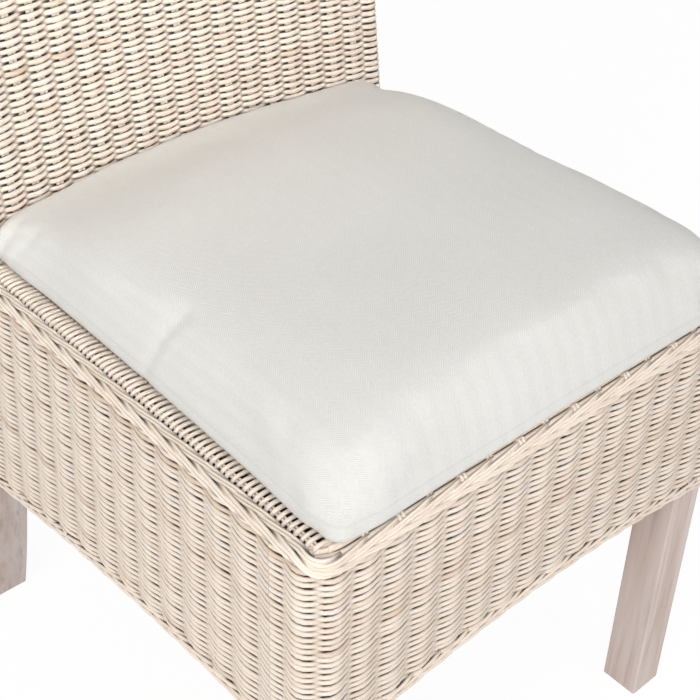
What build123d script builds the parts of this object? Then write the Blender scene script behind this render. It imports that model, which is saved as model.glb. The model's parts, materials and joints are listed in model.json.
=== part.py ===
from build123d import *
import os
from math import copysign, radians, sqrt, tan

# Armless wicker dining chair, millimetres, +Z up, seat facing -Y, origin on the floor
# under the middle of the chair. A wooden frame carries woven cane skins, and a loose
# cushion lies on the woven seat.

# overall
seat_width = 470.0  # over the woven side skins
seat_depth = 430.0  # front skin to the sides of the back skin
rim_height = 455.0  # floor to the top of the seat rim
back_rise = 480.0  # seat frame to the top of the posts
back_lean = 7.5  # degrees that the back leans from upright
back_bow = 20.0  # how far the back is hollowed between its edges

# wooden frame
leg = 37.0  # front legs, square
arris = 2.0  # rounding of the front legs' long edges
post_width = 37.0
post_depth = 34.0  # from the rear hem upwards
post_foot = 30.0  # depth of a post on the floor
leg_rake = 8.3  # degrees that the posts rake back below the seat
foot_kick = 78.0  # how far the rear feet stand back of the seat joint
rail_thick = 22.0
rail_deep = 60.0
back_rail_deep = 34.0
lower_rail_gap = 60.0  # seat frame to the lower back rail
tenon_long = 12.0
tenon_thick = 10.0
tenon_shoulder = 8.0
fit = 0.1  # clearance round a tenon and beside a bent skin

# weaving
skin = 9.0  # woven skin, one cane between two weavers
cane = 3.4  # stakes and warps
flat_count = 8  # number of flats that a cane is drawn with
cane_gap = 0.2  # between the two canes of a pair and beside them
stake_pitch = 28.6  # aprons, seat and rear of the back
back_pitch = 23.7  # front of the back
first_stake = 44.0  # front skin to the first pair on a side
last_stake = 8.0  # last pair on a side to the rear skin

# rim, crest and hem
rim_rise = 10.0  # seat frame to the rim's top
plait_drop = 4.0  # seat frame down to the foot of the front plait
plait_lift = 4.0  # seat frame up to the foot of a side plait
plait_proud = 3.0
plait_bulge = 3.0
plait_width = 12.0  # from the skin's outer face inwards
wrap_width = 9.0
deck_corner = 3.0
crest_rise = 12.0
crest_round = 9.0
edge_round = 4.0  # outer edges of the back
hem = 9.0
hem_proud = 2.0

# depth of the aprons below the rim, to the hem's lower edge
front_drop = 172.0
corner_drop = 197.0
side_drop = 206.0
side_rear_drop = 259.0
rear_drop = 232.0

# cushion
cushion_thick = 57.0  # seat rim to the cushion's shoulder
cushion_belly = 0.3  # share of the thickness at which it is widest
cushion_press = 0.7  # share of the thickness that bears on the back
cushion_tuck = 2.0  # how far its underside lies inside its widest line
cushion_shoulder = 20.0  # how far its shoulder lies inside its widest line
cushion_crown = 5.0
crown_run = 120.0  # cushion's shoulder to the flat of its crown
cushion_inset = 22.0  # skin's outer face to the cushion's side
cushion_front = 2.0  # skin's outer face to the cushion's front
cushion_corner = 28.0
cushion_pull = 3.0  # how far its sides draw in between the corners
cushion_clear = 0.3

# places worked out from the sizes
half = seat_width / 2
frame_half = half - skin
deck_z = rim_height - rim_rise
rail_z = deck_z - rail_deep
front_top = deck_z - plait_drop
side_top = deck_z + plait_lift
top_z = deck_z + back_rise
lean = tan(radians(back_lean))
rake = tan(radians(leg_rake))
back_run = lean * back_rise
lean_way = (0, lean, 1)
rake_way = (0, rake, -1)
lean_long = sqrt(1 + lean**2)
rake_long = sqrt(1 + rake**2)
rear_reach = max(foot_kick + post_foot, back_run + post_depth + skin)
front_y = plait_proud - (plait_proud + seat_depth + skin + rear_reach) / 2
frame_front = front_y + skin
back_face = front_y + seat_depth
post_y = back_face + skin
post_rear = post_y + post_depth
side_end = post_rear + skin
wrap_in = plait_width + wrap_width
corner_radius = wrap_in + deck_corner
corner_inner = corner_radius - skin
side_start = front_y + corner_radius
flat = half - corner_radius
groove_wide = 2 * cane + 3 * cane_gap
groove_deep = (skin + cane) / 2
cane_step = (cane + cane_gap) / 2
tenon_high = rail_deep - 2 * tenon_shoulder
hem_low = rim_height - side_rear_drop
rake_drop = deck_z - hem_low
SIDES = (("right", -1), ("left", 1))

# lower edges of the hems: along the front, along a side and along the rear
front_arch = (
    (-half - hem_proud, rim_height - corner_drop),
    (0, rim_height - front_drop),
    (half + hem_proud, rim_height - corner_drop),
)
side_arch = (
    (side_start, rim_height - corner_drop),
    ((front_y + back_face) / 2, rim_height - side_drop),
    (side_end + rake * rake_drop, hem_low),
)
rear_arch = ((-frame_half, hem_low), (0, rim_height - rear_drop), (frame_half, hem_low))

os.makedirs("parts", exist_ok=True)


def keep(piece, label):
    """Names a finished piece and writes it."""
    piece.part.label = label
    export_step(piece.part, f"parts/{label}.step")


def arch_at(points, place):
    """Height at a place on the arch through three points."""
    (ax, ay), (bx, by), (cx, cy) = points
    turn = 2 * (ax * (by - cy) + bx * (cy - ay) + cx * (ay - by))
    a, b, c = ax**2 + ay**2, bx**2 + by**2, cx**2 + cy**2
    middle = (a * (by - cy) + b * (cy - ay) + c * (ay - by)) / turn
    level = (a * (cx - bx) + b * (ax - cx) + c * (bx - ax)) / turn
    radius = sqrt((ax - middle) ** 2 + (ay - level) ** 2)
    return level + copysign(sqrt(radius**2 - (place - middle) ** 2), by - level)


def hem_top(points, place):
    """Upper edge of a hem where a pair of canes stands on it."""
    beside = [arch_at(points, place + way * groove_wide / 2) for way in (-1, 1)]
    return hem + max(beside)


def bow_at(x):
    """How far the hollow of the back lies behind its edges."""
    return arch_at(((-frame_half, 0), (0, back_bow), (frame_half, 0)), x)


def bow_line(y, reach):
    """Hollow line across the back, for a back whose edges are at y."""
    end = y + bow_at(reach)
    return ThreePointArc((-reach, end), (0, y + back_bow), (reach, end))


def spread(pitch, reach):
    """Places a pitch apart, as many as fit evenly about the middle."""
    count = int(reach / pitch + 0.5)
    return [(k + 0.5) * pitch for k in range(-count, count)]


def raised(points, rise):
    """The same three points, higher."""
    return [(place, height + rise) for place, height in points]


def arch_strip(points):
    """Outline of a hem: an arch and the same arch a hem's height above it."""
    with BuildLine() as outline:
        lower = ThreePointArc(*points)
        upper = ThreePointArc(*raised(points, hem))
        Line(lower @ 0, upper @ 0)
        Line(lower @ 1, upper @ 1)
    return outline.edges()


def arch_panel(points, far, near):
    """Outline of a skin: a hem's upper edge, closed over two upper corners."""
    with BuildLine() as outline:
        lower = ThreePointArc(*raised(points, hem))
        Polyline(lower @ 1, far, near, lower @ 0)
    return outline.edges()


def front_band(outer, inner):
    """Plan of a band round the front of the seat, measured in from the skin's outer face."""
    with BuildLine() as outline:
        CenterArc((flat, side_start), corner_radius - outer, -90, 90)
        Line((half - outer, side_start), (half - inner, side_start))
        CenterArc((flat, side_start), corner_radius - inner, -90, 90)
        Line((-flat, front_y + inner), (flat, front_y + inner))
        CenterArc((-flat, side_start), corner_radius - inner, 180, 90)
        Line((inner - half, side_start), (outer - half, side_start))
        CenterArc((-flat, side_start), corner_radius - outer, 180, 90)
        Line((-flat, front_y + outer), (flat, front_y + outer))
    return outline.edges()


def rear_slab(thick):
    """Side outline of a slab on the raked rear faces of the posts, down to the hem."""
    with BuildLine() as outline:
        foot = post_rear + rake * rake_drop
        Polyline((post_rear, deck_z), (post_rear + thick, deck_z), (foot + thick, hem_low), (foot, hem_low), close=True)
    return outline.edges()


# front legs, rounded at the outer corner where the skin bends round them
leg_round_z = rim_height - corner_drop
for name, side in SIDES:
    with BuildPart() as front_leg:
        with BuildSketch():
            with Locations((side * (frame_half - leg / 2), frame_front + leg / 2)):
                Rectangle(leg, leg)
        extrude(amount=deck_z)
        fillet(front_leg.edges().filter_by(Axis.Z), arris)
        with BuildSketch(Plane.XY.offset(leg_round_z)):
            with Locations((side * (frame_half - corner_inner / 2), frame_front + corner_inner / 2)):
                Rectangle(corner_inner, corner_inner)
            with Locations((side * (frame_half - corner_inner), frame_front + corner_inner)):
                Circle(corner_inner - fit, mode=Mode.SUBTRACT)
        extrude(amount=deck_z - leg_round_z, mode=Mode.SUBTRACT)
        with BuildSketch(Plane.XY.offset(rail_z + tenon_shoulder - fit)):
            with Locations((side * (frame_half - leg + tenon_long / 2), frame_front + rail_thick / 2)):
                Rectangle(tenon_long + 2 * fit, tenon_thick + 2 * fit)
            with Locations((side * (frame_half - rail_thick / 2), frame_front + leg - tenon_long / 2)):
                Rectangle(tenon_thick + 2 * fit, tenon_long + 2 * fit)
        extrude(amount=tenon_high + 2 * fit, mode=Mode.SUBTRACT)
    keep(front_leg, f"front_{name}_leg")

# rear posts: raked and curved foot, leaning stile planed to the hollow of the back
cross_reach = frame_half - leg
post_reach = frame_half - post_width
tenon_tip = post_y + rake * rail_deep + tenon_long
rear_tenon_y = post_rear - rail_thick / 2
for name, side in SIDES:
    with BuildPart() as rear_post:
        with BuildSketch(Plane.YZ.offset(post_reach if side > 0 else -frame_half)):
            with BuildLine():
                knee = post_y + rake * rake_drop
                heel = post_y + foot_kick
                Polyline((knee, hem_low), (post_y, deck_z), (post_y + back_run, top_z))
                Line((post_y + back_run, top_z), (post_rear + back_run, top_z))
                Polyline((post_rear + back_run, top_z), (post_rear, deck_z), (knee + post_depth, hem_low))
                TangentArc((knee + post_depth, hem_low), (heel + post_foot, 0), tangent=(rake, -1))
                Line((heel + post_foot, 0), (heel, 0))
                TangentArc((knee, hem_low), (heel, 0), tangent=(rake, -1))
            make_face()
        extrude(amount=post_width)
        with BuildSketch(Plane.XY.offset(deck_z)):
            with BuildLine():
                hollow = bow_line(post_y, frame_half)
                Line(hollow @ 0, hollow @ 1)
            make_face()
        extrude(amount=back_rise * lean_long, dir=lean_way, mode=Mode.SUBTRACT)
        with BuildSketch(Plane.XY.offset(rail_z + tenon_shoulder - fit)):
            with Locations((side * (frame_half - rail_thick / 2), (back_face + tenon_tip + fit) / 2)):
                Rectangle(tenon_thick + 2 * fit, tenon_tip + fit - back_face)
        extrude(amount=tenon_high + 2 * fit, mode=Mode.SUBTRACT)
        rear_drop_at = rake * (tenon_shoulder - fit)
        with BuildSketch(Plane.XY.offset(deck_z - tenon_shoulder + fit)):
            with Locations((side * (post_reach + tenon_long / 2), rear_tenon_y + rear_drop_at)):
                Rectangle(tenon_long + 2 * fit, tenon_thick + 2 * fit)
        extrude(amount=(tenon_high + 2 * fit) * rake_long, dir=rake_way, mode=Mode.SUBTRACT)
    keep(rear_post, f"rear_{name}_post")

# seat rails with stub tenons: one across the front, one raked across the rear, one a side
with BuildPart() as front_seat_rail:
    with BuildSketch(Plane.XY.offset(rail_z)):
        with Locations((0, frame_front + rail_thick / 2)):
            Rectangle(2 * cross_reach, rail_thick)
    extrude(amount=rail_deep)
    with BuildSketch(Plane.XY.offset(rail_z + tenon_shoulder)):
        with Locations((0, frame_front + rail_thick / 2)):
            Rectangle(2 * (cross_reach + tenon_long), tenon_thick)
    extrude(amount=tenon_high)
keep(front_seat_rail, "front_seat_rail")

with BuildPart() as rear_seat_rail:
    with BuildSketch(Plane.XY.offset(deck_z)):
        with Locations((0, rear_tenon_y)):
            Rectangle(2 * post_reach, rail_thick)
    extrude(amount=rail_deep * rake_long, dir=rake_way)
    with BuildSketch(Plane.XY.offset(deck_z - tenon_shoulder)):
        with Locations((0, rear_tenon_y + rake * tenon_shoulder)):
            Rectangle(2 * (post_reach + tenon_long), tenon_thick)
    extrude(amount=tenon_high * rake_long, dir=rake_way)
keep(rear_seat_rail, "rear_seat_rail")

side_from = frame_front + leg
for name, side in SIDES:
    with BuildPart() as side_rail:
        with BuildSketch(Plane.YZ.offset(side * (frame_half - rail_thick / 2))):
            with BuildLine():
                Polyline(
                    (side_from, rail_z),
                    (post_y + rake * rail_deep, rail_z),
                    (post_y, deck_z),
                    (side_from, deck_z),
                    close=True,
                )
            make_face()
        extrude(amount=rail_thick / 2, both=True)
        with BuildSketch(Plane.XY.offset(rail_z + tenon_shoulder)):
            with Locations((side * (frame_half - rail_thick / 2), (side_from - tenon_long + tenon_tip) / 2)):
                Rectangle(tenon_thick, tenon_tip - side_from + tenon_long)
        extrude(amount=tenon_high)
    keep(side_rail, f"{name}_seat_rail")

# back rails between the posts, sawn to the hollow in front and flat behind
for label, rise in (
    ("lower_back_rail", lower_rail_gap),
    ("top_back_rail", back_rise - back_rail_deep),
):
    with BuildPart() as back_rail:
        with BuildSketch(Plane.XY.offset(deck_z + rise)):
            with BuildLine():
                sawn = bow_line(post_y + lean * rise, post_reach)
                rear_y = post_rear + lean * rise
                Polyline(sawn @ 1, (post_reach, rear_y), (-post_reach, rear_y), sawn @ 0)
            make_face()
        extrude(amount=back_rail_deep * lean_long, dir=lean_way)
    keep(back_rail, label)

# front apron: the skin bends round both front corners, with grooves behind for its stakes
front_stakes = spread(stake_pitch, flat - groove_wide)
with BuildPart() as front_apron:
    with BuildSketch():
        make_face(front_band(0, skin))
    extrude(amount=front_top)
    with BuildSketch(Plane.XZ):
        make_face(arch_panel(front_arch, (front_arch[2][0], front_top), (front_arch[0][0], front_top)))
    extrude(amount=-2 * front_y, both=True, mode=Mode.INTERSECT)
    with BuildSketch():
        with Locations([(x, frame_front - groove_deep / 2) for x in front_stakes]):
            Rectangle(groove_wide, groove_deep)
    extrude(amount=front_top, mode=Mode.SUBTRACT)
keep(front_apron, "front_apron")

with BuildPart() as front_apron_stakes:
    for x in front_stakes:
        foot = hem_top(front_arch, x)
        with BuildSketch(Plane.XY.offset(foot)):
            with Locations([(x + way * cane_step, front_y + skin / 2) for way in (-1, 1)]):
                RegularPolygon(cane / 2, flat_count)
        extrude(amount=front_top - foot)
keep(front_apron_stakes, "front_apron_stakes")

# side aprons: flat skins from the front corner to behind the post, stakes fanned to its rake
stake_from = front_y + first_stake
stake_room = side_end - last_stake - stake_from
side_stakes = [stake_from + k * stake_pitch for k in range(int(stake_room / stake_pitch) + 1)]


def stake_plane(side, y):
    """Plane across a side stake at its top, facing down the stake."""
    slide = rake * (y - stake_from) / stake_room
    start = side_top - rake * groove_wide
    return Plane(origin=(side * (half - skin / 2), y, start), x_dir=(1, 0, 0), z_dir=(0, slide, -1))


def stake_length(plane):
    """Length of a side stake from under the plait down to the hem."""
    slide = plane.z_dir.Y / -plane.z_dir.Z
    top = plane.origin
    drop = top.Z - hem_top(side_arch, top.Y)
    for _ in range(4):
        drop = top.Z - hem_top(side_arch, top.Y + slide * drop)
    return (drop - slide * groove_wide) * sqrt(1 + slide**2)


for name, side in SIDES:
    with BuildPart() as side_apron:
        with BuildSketch(Plane.YZ.offset(side * (half - skin / 2))):
            make_face(arch_panel(side_arch, (side_end + lean * plait_lift, side_top), (side_start, side_top)))
        extrude(amount=skin / 2, both=True)
        for y in side_stakes:
            with BuildSketch(stake_plane(side, y).offset(-groove_wide)):
                with Locations((side * (cane - groove_deep) / 2, 0)):
                    Rectangle(groove_deep, groove_wide)
            extrude(amount=rim_height, mode=Mode.SUBTRACT)
    keep(side_apron, f"{name}_apron")

    with BuildPart() as side_apron_stakes:
        for y in side_stakes:
            plane = stake_plane(side, y)
            with BuildSketch(plane):
                with Locations((0, -cane_step), (0, cane_step)):
                    RegularPolygon(cane / 2, flat_count)
            extrude(amount=stake_length(plane))
    keep(side_apron_stakes, f"{name}_apron_stakes")

# rear apron and rear skin of the back, on the flat rear faces of the posts
rear_stakes = spread(stake_pitch, frame_half - groove_wide)
rear_grooves = [(x, post_rear + groove_deep / 2) for x in rear_stakes]
with BuildPart() as rear_apron:
    with BuildSketch(Plane.YZ):
        make_face(rear_slab(skin))
    extrude(amount=frame_half, both=True)
    with BuildSketch(Plane.XZ):
        make_face(arch_panel(rear_arch, (frame_half, deck_z), (-frame_half, deck_z)))
    extrude(amount=-2 * front_y, both=True, mode=Mode.INTERSECT)
    with BuildSketch(Plane.XY.offset(deck_z)):
        with Locations(rear_grooves):
            Rectangle(groove_wide, groove_deep)
    extrude(amount=rake_drop * rake_long, dir=rake_way, mode=Mode.SUBTRACT)
keep(rear_apron, "rear_apron")

with BuildPart() as rear_apron_stakes:
    for x in rear_stakes:
        with BuildSketch(Plane.XY.offset(deck_z)):
            with Locations([(x + way * cane_step, post_rear + skin / 2) for way in (-1, 1)]):
                RegularPolygon(cane / 2, flat_count)
        extrude(amount=(deck_z - hem_top(rear_arch, x)) * rake_long, dir=rake_way)
keep(rear_apron_stakes, "rear_apron_stakes")

with BuildPart() as back_rear_panel:
    with BuildSketch(Plane.XY.offset(deck_z)):
        with Locations((0, post_rear + skin / 2)):
            Rectangle(2 * frame_half, skin)
        with Locations(rear_grooves):
            Rectangle(groove_wide, groove_deep, mode=Mode.SUBTRACT)
    extrude(amount=back_rise * lean_long, dir=lean_way)
keep(back_rear_panel, "back_rear_panel")

with BuildPart() as back_rear_stakes:
    with BuildSketch(Plane.XY.offset(deck_z)):
        for x in rear_stakes:
            with Locations([(x + way * cane_step, post_rear + skin / 2) for way in (-1, 1)]):
                RegularPolygon(cane / 2, flat_count)
    extrude(amount=back_rise * lean_long, dir=lean_way)
keep(back_rear_stakes, "back_rear_stakes")

# front skin of the back, hollowed between its edges, with grooves behind for its stakes
back_stakes = spread(back_pitch, frame_half - groove_wide)
with BuildPart() as back_front_panel:
    with BuildSketch(Plane.XY.offset(deck_z)):
        with BuildLine():
            behind = bow_line(post_y, frame_half)
            ahead = bow_line(back_face, frame_half)
            Line(behind @ 0, ahead @ 0)
            Line(behind @ 1, ahead @ 1)
        make_face()
        with Locations([(x, post_y + bow_at(x) + (cane - groove_deep) / 2) for x in back_stakes]):
            Rectangle(groove_wide, groove_deep + cane, mode=Mode.SUBTRACT)
    extrude(amount=back_rise * lean_long, dir=lean_way)
keep(back_front_panel, "back_front_panel")

with BuildPart() as back_front_stakes:
    with BuildSketch(Plane.XY.offset(deck_z)):
        for x in back_stakes:
            with Locations([(x + way * cane_step, back_face + bow_at(x) + skin / 2) for way in (-1, 1)]):
                RegularPolygon(cane / 2, flat_count)
    extrude(amount=back_rise * lean_long, dir=lean_way)
keep(back_front_stakes, "back_front_stakes")

# woven edges of the back, over the outer sides of the posts
for name, side in SIDES:
    with BuildPart() as back_edge:
        with BuildSketch(Plane.YZ.offset(side * (half - skin / 2))):
            with BuildLine():
                Polyline(
                    (back_face + lean * plait_lift, side_top),
                    (side_end + lean * plait_lift, side_top),
                    (side_end + back_run, top_z),
                    (back_face + back_run, top_z),
                    close=True,
                )
            make_face()
        extrude(amount=skin / 2, both=True)
        outer_edges = back_edge.faces().sort_by(Axis.X)[-1 if side > 0 else 0].edges()
        fillet(outer_edges.sort_by(SortBy.LENGTH)[-2:], edge_round)
    keep(back_edge, f"{name}_back_edge")

# woven seat deck on the rails, with grooves below for the warps that run front to back
deck_half = half - wrap_in
deck_front = front_y + wrap_in
warps = spread(stake_pitch, deck_half - groove_wide)
with BuildPart() as seat_deck:
    with BuildSketch(Plane.XY.offset(deck_z)) as deck_plan:
        with BuildLine():
            deck_rear = bow_line(back_face, deck_half)
            Polyline(deck_rear @ 1, (deck_half, deck_front), (-deck_half, deck_front), deck_rear @ 0)
        make_face()
        fillet(deck_plan.vertices().sort_by(Axis.Y)[:2], deck_corner)
    extrude(amount=skin)
    with BuildSketch(Plane.XY.offset(deck_z)):
        with Locations([(x, 0) for x in warps]):
            Rectangle(groove_wide, 2 * seat_depth)
    extrude(amount=groove_deep, mode=Mode.SUBTRACT)
keep(seat_deck, "seat_deck")

with BuildPart() as seat_warps:
    for x in warps:
        with BuildSketch(Plane.XZ.offset(-deck_front)):
            with Locations([(x + way * cane_step, deck_z + skin / 2) for way in (-1, 1)]):
                RegularPolygon(cane / 2, flat_count)
        extrude(amount=deck_front - back_face - bow_at(abs(x) + groove_wide / 2))
keep(seat_warps, "seat_warps")


# rim of the seat: a plait over the top of the skins, and inside it the looped seat weavers
def plait_face(turn, foot):
    """Section of a plait down to its foot, where turn carries a way in from the skin and a height."""
    over, under = (plait_width, rim_height), (-plait_proud, foot)
    long, high = over[0] - under[0], over[1] - under[1]
    share = plait_bulge / sqrt(long**2 + high**2)
    crown = ((over[0] + under[0]) / 2 - share * high, (over[1] + under[1]) / 2 + share * long)
    with BuildLine() as outline:
        ThreePointArc(turn(*over), turn(*crown), turn(*under))
        Polyline(turn(*under), turn(skin, foot), turn(skin, deck_z), turn(plait_width, deck_z), turn(*over))
    return outline.edges()


def wrap_face(turn, foot):
    """Section of the looped weavers, on the seat frame beside a plait, whatever the plait's foot."""
    shoulder = deck_z + skin
    with BuildLine() as outline:
        ThreePointArc(
            turn(plait_width, shoulder),
            turn((plait_width + wrap_in) / 2, rim_height),
            turn(wrap_in, shoulder),
        )
        Polyline(
            turn(wrap_in, shoulder),
            turn(wrap_in, deck_z),
            turn(plait_width, deck_z),
            turn(plait_width, shoulder),
        )
    return outline.edges()


def from_front(inward, height):
    """Sketch point for a section of the front rim, seen along the rim."""
    return (front_y + inward, height)


for section, label in ((plait_face, "plait"), (wrap_face, "rim_wrap")):
    with BuildPart() as front_rim:
        with BuildSketch(Plane.YZ):
            make_face(section(from_front, front_top))
        extrude(amount=flat, both=True)
        for name, side in SIDES:
            with BuildSketch(Plane.YZ.offset(side * flat)):
                make_face(section(from_front, front_top))
            revolve(axis=Axis((side * flat, side_start, 0), (0, 0, side)), revolution_arc=90)
    keep(front_rim, f"front_{label}")

    for name, side in SIDES:
        with BuildPart() as side_rim:
            with BuildSketch(Plane.XZ.offset(-side_start)):
                make_face(section(lambda inward, height: (side * (half - inward), height), side_top))
            extrude(amount=side_start - back_face)
        keep(side_rim, f"{name}_{label}")

# border over the top of the back, closing both of its skins
with BuildPart() as crest_border:
    with BuildSketch(Plane.XY.offset(top_z)) as crest_plan:
        with BuildLine():
            crest_front = bow_line(back_face + back_run, half)
            crest_rear = side_end + back_run
            Polyline(crest_front @ 1, (half, crest_rear), (-half, crest_rear), crest_front @ 0)
        make_face()
        fillet(crest_plan.vertices(), edge_round)
    extrude(amount=crest_rise)
    fillet(crest_border.faces().sort_by(Axis.Z)[-1].edges(), crest_round)
keep(crest_border, "crest_border")

# hems along the lower edges of the aprons
with BuildPart() as front_hem:
    with BuildSketch():
        make_face(front_band(-hem_proud, skin))
    extrude(amount=rim_height)
    with BuildSketch(Plane.XZ):
        make_face(arch_strip(front_arch))
    extrude(amount=-2 * front_y, both=True, mode=Mode.INTERSECT)
keep(front_hem, "front_hem")

for name, side in SIDES:
    with BuildPart() as side_hem:
        with BuildSketch(Plane.YZ.offset(side * frame_half)):
            make_face(arch_strip(side_arch))
        extrude(amount=side * (skin + hem_proud))
    keep(side_hem, f"{name}_hem")

with BuildPart() as rear_hem:
    with BuildSketch(Plane.YZ):
        make_face(rear_slab(skin + hem_proud))
    extrude(amount=frame_half, both=True)
    with BuildSketch(Plane.XZ):
        make_face(arch_strip(rear_arch))
    extrude(amount=-2 * front_y, both=True, mode=Mode.INTERSECT)
keep(rear_hem, "rear_hem")

# loose seat cushion: rounded sides with a belly low down, a shallow crown, its rear lying on the back
cushion_z = rim_height + cushion_clear
side_shares = (0, 0.15, 0.3, 0.55, 0.75, 0.9, 1)
crown_shares = (0.4, 1)


def cushion_side(share, belly):
    """How far a side lies inside the widest line, at a share of the thickness."""
    if share < belly:
        return cushion_tuck * (1 - share / belly) ** 2
    return cushion_shoulder * ((share - belly) / (1 - belly)) ** 3


cushion_profile = [
    (cushion_side(s, cushion_belly), cushion_side(s, cushion_press), cushion_thick * s) for s in side_shares
]
cushion_profile += [
    (cushion_shoulder + crown_run * s, cushion_shoulder + crown_run * s, cushion_thick + cushion_crown * s * (2 - s))
    for s in crown_shares
]
with BuildPart() as seat_cushion:
    for inset, rear_inset, rise in cushion_profile:
        with BuildSketch(Plane.XY.offset(cushion_z + rise)) as cushion_plan:
            with BuildLine():
                wide = half - cushion_inset - inset
                near = front_y + cushion_front + inset
                far = back_face + lean * (cushion_z + rise - deck_z) - cushion_clear - rear_inset
                rear = bow_line(far, wide)
                middle = (near + far) / 2
                ThreePointArc(rear @ 1, (wide - cushion_pull, middle), (wide, near))
                ThreePointArc((wide, near), (0, near + cushion_pull), (-wide, near))
                ThreePointArc((-wide, near), (cushion_pull - wide, middle), rear @ 0)
            make_face()
            fillet(cushion_plan.vertices(), cushion_corner)
    loft(ruled=True)
keep(seat_cushion, "seat_cushion")
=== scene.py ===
import json
import random
from math import cos, pi, radians, sin, tan

import bmesh
import bpy
import numpy as np
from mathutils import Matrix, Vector


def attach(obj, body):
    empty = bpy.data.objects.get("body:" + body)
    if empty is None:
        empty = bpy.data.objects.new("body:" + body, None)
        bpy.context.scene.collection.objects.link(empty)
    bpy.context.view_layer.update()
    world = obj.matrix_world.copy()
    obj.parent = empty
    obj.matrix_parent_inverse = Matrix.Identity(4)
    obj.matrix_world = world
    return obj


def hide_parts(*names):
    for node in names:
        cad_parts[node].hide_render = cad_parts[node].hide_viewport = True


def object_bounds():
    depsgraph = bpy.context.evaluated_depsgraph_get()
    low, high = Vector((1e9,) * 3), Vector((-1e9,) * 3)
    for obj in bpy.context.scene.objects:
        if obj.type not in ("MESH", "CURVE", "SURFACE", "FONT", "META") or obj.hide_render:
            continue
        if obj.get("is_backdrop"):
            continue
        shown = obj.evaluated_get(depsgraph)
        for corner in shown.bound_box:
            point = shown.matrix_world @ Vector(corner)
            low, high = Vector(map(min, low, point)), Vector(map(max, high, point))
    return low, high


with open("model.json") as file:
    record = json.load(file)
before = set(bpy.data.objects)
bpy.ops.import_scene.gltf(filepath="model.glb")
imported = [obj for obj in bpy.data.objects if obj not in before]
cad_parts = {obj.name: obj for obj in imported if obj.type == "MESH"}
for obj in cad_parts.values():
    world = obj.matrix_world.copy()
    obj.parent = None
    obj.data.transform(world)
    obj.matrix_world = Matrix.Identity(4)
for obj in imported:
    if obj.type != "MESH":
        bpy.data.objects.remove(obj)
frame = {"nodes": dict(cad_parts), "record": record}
cad_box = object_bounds()

# Studio: a white floor that keeps a soft shadow of the chair, even white light from all
# round, large soft boxes at the right and high at the front, and a gridded one on the back.
scene = bpy.context.scene
scene.view_settings.view_transform = "Standard"


class Wire:
    """One socket in a material's node tree, with sums written as Python expressions."""

    def __init__(self, tree, socket):
        self.tree = tree
        self.socket = socket

    def make(self, kind, settings=None, **values):
        """Adds a node, sets it up, fills its inputs by name or number, returns its outputs."""
        node = self.tree.nodes.new(kind)
        for key, value in (settings or {}).items():
            if key == "stops":
                ramp = node.color_ramp.elements
                while len(ramp) < len(value):
                    ramp.new(0.5)
                for stop, (place, colour) in zip(ramp, value):
                    stop.position = place
                    stop.color = (*colour, 1)
            else:
                setattr(node, key, value)
        for key, value in values.items():
            place = int(key[1:]) if key[1:].isdigit() else key.replace("_", " ")
            if isinstance(value, Wire):
                self.tree.links.new(node.inputs[place], value.socket)
            else:
                node.inputs[place].default_value = value
        return [Wire(self.tree, socket) for socket in node.outputs if socket.enabled]

    def maths(self, operation, first, second=0.0):
        return self.make("ShaderNodeMath", {"operation": operation}, i0=first, i1=second)[0]

    def __add__(self, other):
        return self.maths("ADD", self, other)

    def __sub__(self, other):
        return self.maths("SUBTRACT", self, other)

    def __mul__(self, other):
        return self.maths("MULTIPLY", self, other)

    def __truediv__(self, other):
        return self.maths("DIVIDE", self, other)

    def blend(self, low, high):
        """A colour between two others, by this value."""
        return self.make("ShaderNodeMix", {"data_type": "RGBA"}, i0=self, i6=low, i7=high)[0]


floor_paint = bpy.data.materials.new("white floor")
floor_paint.use_nodes = True
floor_tree = floor_paint.node_tree
floor_tree.nodes.clear()
floor_wire = Wire(floor_tree, None)
seen = floor_wire.make("ShaderNodeLightPath")
straight = floor_wire.maths("MAXIMUM", seen[0], floor_wire.maths("MAXIMUM", seen[3], seen[6]))
paper = floor_wire.make("ShaderNodeBsdfDiffuse", Color=(0.86, 0.86, 0.86, 1))[0]
glow = floor_wire.make("ShaderNodeEmission", Color=(1, 1, 1, 1), Strength=1.04)[0]
both = floor_wire.make("ShaderNodeMixShader", i0=straight * 0.9, i1=paper, i2=glow)[0]
floor_wire.make("ShaderNodeOutputMaterial", Surface=both)

floor_mesh = bmesh.new()
bmesh.ops.create_grid(floor_mesh, x_segments=1, y_segments=1, size=6)
floor_data = bpy.data.meshes.new("floor")
floor_mesh.to_mesh(floor_data)
floor_mesh.free()
floor_data.materials.append(floor_paint)
floor = bpy.data.objects.new("floor", floor_data)
scene.collection.objects.link(floor)
floor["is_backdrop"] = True

world = bpy.data.worlds.new("white studio")
scene.world = world
world.use_nodes = True
sky = Wire(world.node_tree, None)
sky_seen = sky.make("ShaderNodeLightPath")
sky_straight = sky.maths("MAXIMUM", sky_seen[0], sky.maths("MAXIMUM", sky_seen[3], sky_seen[6]))
world.node_tree.nodes["Background"].inputs["Color"].default_value = (1, 1, 1, 1)
world.node_tree.links.new(
    world.node_tree.nodes["Background"].inputs["Strength"], (sky_straight * 0.53 + 0.47).socket
)

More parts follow.
